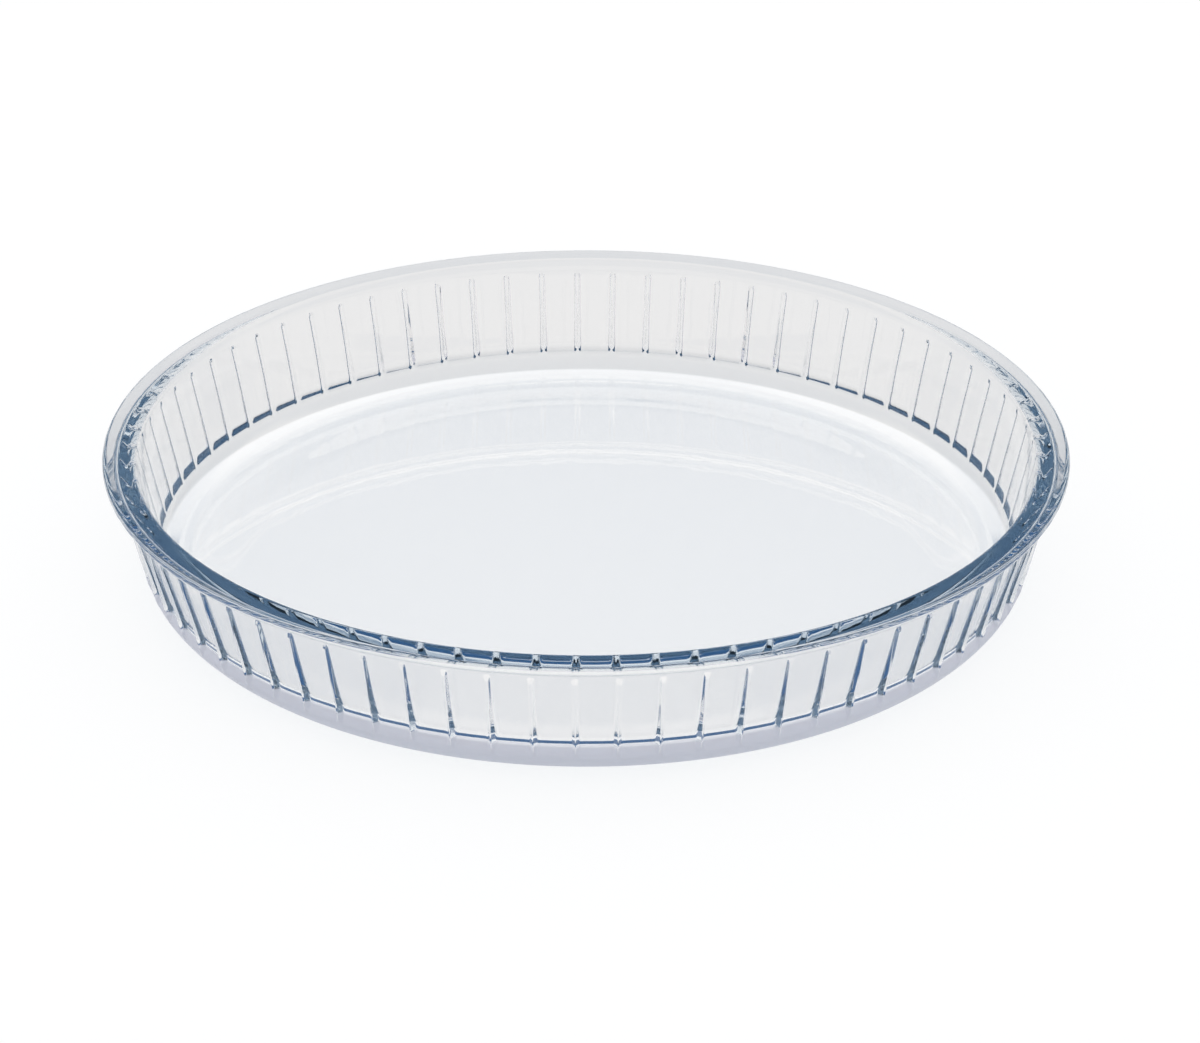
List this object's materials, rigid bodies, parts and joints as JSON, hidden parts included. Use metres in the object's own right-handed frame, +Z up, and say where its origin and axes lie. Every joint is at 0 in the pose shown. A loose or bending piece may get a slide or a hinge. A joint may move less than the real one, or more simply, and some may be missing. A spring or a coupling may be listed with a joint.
{
  "type": "pie dish",
  "caption": "Round clear glass pie dish with a fluted outside wall, a flat flared rim, a smooth inside and a shallow foot ring.",
  "frame": {"origin": "centre of the foot ring, on the surface that the dish stands on", "axes": "+Z up out of the open top, along the dish's axis of symmetry; +X and +Y are any two square directions across the rim"},
  "size_m": [0.28, 0.28, 0.04],
  "materials": {
    "clear_glass": "clear pressed glass, fire-polished, with a faint blue tint in thick places"
  },
  "bodies": {
    "root": {"glass_dish": "clear_glass"}
  },
  "joints": []
}
